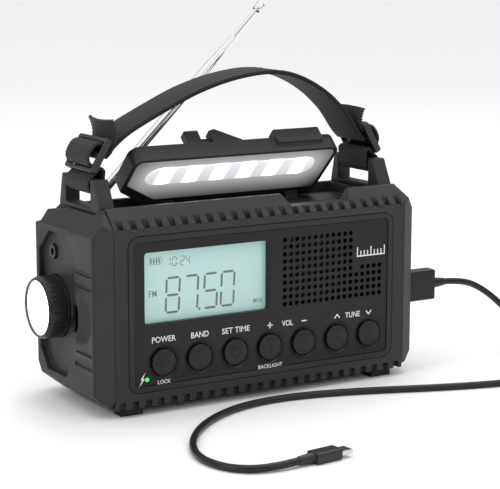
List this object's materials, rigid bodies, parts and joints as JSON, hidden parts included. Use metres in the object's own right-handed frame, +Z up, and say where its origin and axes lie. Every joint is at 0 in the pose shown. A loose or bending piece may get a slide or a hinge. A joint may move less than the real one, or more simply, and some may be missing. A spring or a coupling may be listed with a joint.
{
  "type": "emergency radio",
  "caption": "Portable emergency radio with a hinged lamp and solar lid, telescopic aerial, hand crank, end torch, carrying strap and a charging lead plugged into its side.",
  "frame": {"origin": "on the ground under the middle of the whole object, its free lead left out", "axes": "+Z up, front face with the display towards -Y, strap across along X, torch end at -X"},
  "size_m": [0.3093, 0.1853, 0.1929],
  "materials": {
    "body": "fine texture",
    "panel": "satin",
    "button": "matt",
    "window": "clear",
    "screen": "lit display",
    "rubber": "matt",
    "screw": "blackened",
    "board": "circuit board",
    "steel": "plated",
    "chrome": "polished",
    "ferrite": "sintered",
    "cell": "wrapped cell",
    "brass": "plain",
    "gear": "acetal",
    "reflector": "metallised",
    "emitter": "light emitting diode",
    "lens": "clear",
    "diffuser": "opal",
    "lid_face": "satin grey",
    "solar": "solar cells under resin",
    "webbing": "ribbed webbing",
    "strap": "smooth strap",
    "lead": "moulded"
  },
  "bodies": {
    "radio": {"front_housing": "body", "rear_housing": "body", "left_end_cap": "body", "right_end_cap": "body", "left_strap_lug": "body", "right_strap_lug": "body", "rubber_feet": "rubber", "housing_screws": "screw", "panel_frame": "panel", "front_panel": "panel", "display_window": "window", "display_module": "screen", "key_board": "board", "main_board": "board", "loudspeaker": "steel", "status_led": "emitter", "battery_cells": "cell", "battery_cradle": "gear", "ferrite_rod": "ferrite", "torch_body": "body", "torch_bezel": "panel", "torch_reflector": "reflector", "torch_led": "emitter", "torch_lens": "lens", "earphone_socket": "panel", "charging_socket": "steel", "dynamo_can": "steel", "gear_plate": "steel", "left_buckle": "panel", "right_buckle": "panel", "strap_webbing": "webbing", "carrying_strap": "strap", "lead_plug": "lead", "lead_cord": "lead", "lead_connector": "lead"},
    "lid": {"lid_frame": "body", "solar_panel": "solar", "lamp_cover": "lid_face", "lamp_diffuser": "diffuser", "lamp_board": "board", "hinge_pin": "steel"},
    "crank": {"crank_shaft": "steel", "drive_gear": "gear", "crank_arm": "panel"},
    "knob": {"crank_knob": "button"},
    "idler": {"idler_gear": "gear"},
    "rotor": {"dynamo_rotor": "brass"},
    "aerial_base": {"aerial_turret": "chrome"},
    "torch_slider": {"torch_switch": "button"},
    "button_power": {"button_power": "button"},
    "button_band": {"button_band": "button"},
    "button_set_time": {"button_set_time": "button"},
    "button_volume_up": {"button_volume_up": "button"},
    "button_volume_down": {"button_volume_down": "button"},
    "button_tune_up": {"button_tune_up": "button"},
    "button_tune_down": {"button_tune_down": "button"},
    "aerial_1": {"aerial_section_1": "chrome"},
    "aerial_2": {"aerial_section_2": "chrome"},
    "aerial_3": {"aerial_section_3": "chrome"},
    "aerial_4": {"aerial_section_4": "chrome"}
  },
  "joints": [
    {"name": "lid_hinge", "type": "hinge", "parent": "radio", "child": "lid", "pos_m": [0.004, 0.0115, 0.0955], "axis": [-1, 0, 0], "range_deg": [-45, 0]},
    {"name": "torch_slide", "type": "slide", "parent": "radio", "child": "torch_slider", "axis": [0, 0, 1], "range_m": [0, 0.0065]},
    {"name": "aerial_swivel", "type": "hinge", "parent": "radio", "child": "aerial_base", "pos_m": [-0.059, 0.0292, 0.088], "axis": [0, 0, 1], "range_deg": [0, 180]},
    {"name": "aerial_tilt", "type": "hinge", "parent": "aerial_base", "child": "aerial_1", "pos_m": [-0.059, 0.0292, 0.0916], "axis": [0, -1, 0], "range_deg": [-44.5, 45.5]},
    {"name": "aerial_slide_2", "type": "slide", "parent": "aerial_1", "child": "aerial_2", "axis": [0.7133, 0, 0.7009], "range_m": [-0.0085, 0.07]},
    {"name": "aerial_slide_3", "type": "slide", "parent": "aerial_2", "child": "aerial_3", "axis": [0.7133, 0, 0.7009], "range_m": [-0.0085, 0.065]},
    {"name": "aerial_slide_4", "type": "slide", "parent": "aerial_3", "child": "aerial_4", "axis": [0.7133, 0, 0.7009], "range_m": [-0.018, 0.055]},
    {"name": "crank_turn", "type": "hinge", "parent": "radio", "child": "crank", "pos_m": [0.032, -0.0018, 0.049], "axis": [0, 1, 0], "continuous": true},
    {"name": "knob_fold", "type": "hinge", "parent": "crank", "child": "knob", "pos_m": [0.0012, 0.0353, 0.049], "axis": [0, 0, 1], "range_deg": [0, 90]},
    {"name": "idler_turn", "type": "hinge", "parent": "radio", "child": "idler", "pos_m": [0.032, -0.0018, 0.067], "axis": [0, 1, 0], "continuous": true},
    {"name": "rotor_turn", "type": "hinge", "parent": "radio", "child": "rotor", "pos_m": [0.05, -0.0018, 0.067], "axis": [0, 1, 0], "continuous": true},
    {"name": "press_power", "type": "slide", "parent": "radio", "child": "button_power", "axis": [0, 1, 0], "range_m": [0, 0.0012], "stiffness_N_per_m": 400},
    {"name": "press_band", "type": "slide", "parent": "radio", "child": "button_band", "axis": [0, 1, 0], "range_m": [0, 0.0012], "stiffness_N_per_m": 400},
    {"name": "press_set_time", "type": "slide", "parent": "radio", "child": "button_set_time", "axis": [0, 1, 0], "range_m": [0, 0.0012], "stiffness_N_per_m": 400},
    {"name": "press_volume_up", "type": "slide", "parent": "radio", "child": "button_volume_up", "axis": [0, 1, 0], "range_m": [0, 0.0012], "stiffness_N_per_m": 400},
    {"name": "press_volume_down", "type": "slide", "parent": "radio", "child": "button_volume_down", "axis": [0, 1, 0], "range_m": [0, 0.0012], "stiffness_N_per_m": 400},
    {"name": "press_tune_up", "type": "slide", "parent": "radio", "child": "button_tune_up", "axis": [0, 1, 0], "range_m": [0, 0.0012], "stiffness_N_per_m": 400},
    {"name": "press_tune_down", "type": "slide", "parent": "radio", "child": "button_tune_down", "axis": [0, 1, 0], "range_m": [0, 0.0012], "stiffness_N_per_m": 400}
  ],
  "couplings": [
    {"joint": "idler_turn", "follows": "crank_turn", "ratio": -4},
    {"joint": "rotor_turn", "follows": "crank_turn", "ratio": 16}
  ]
}
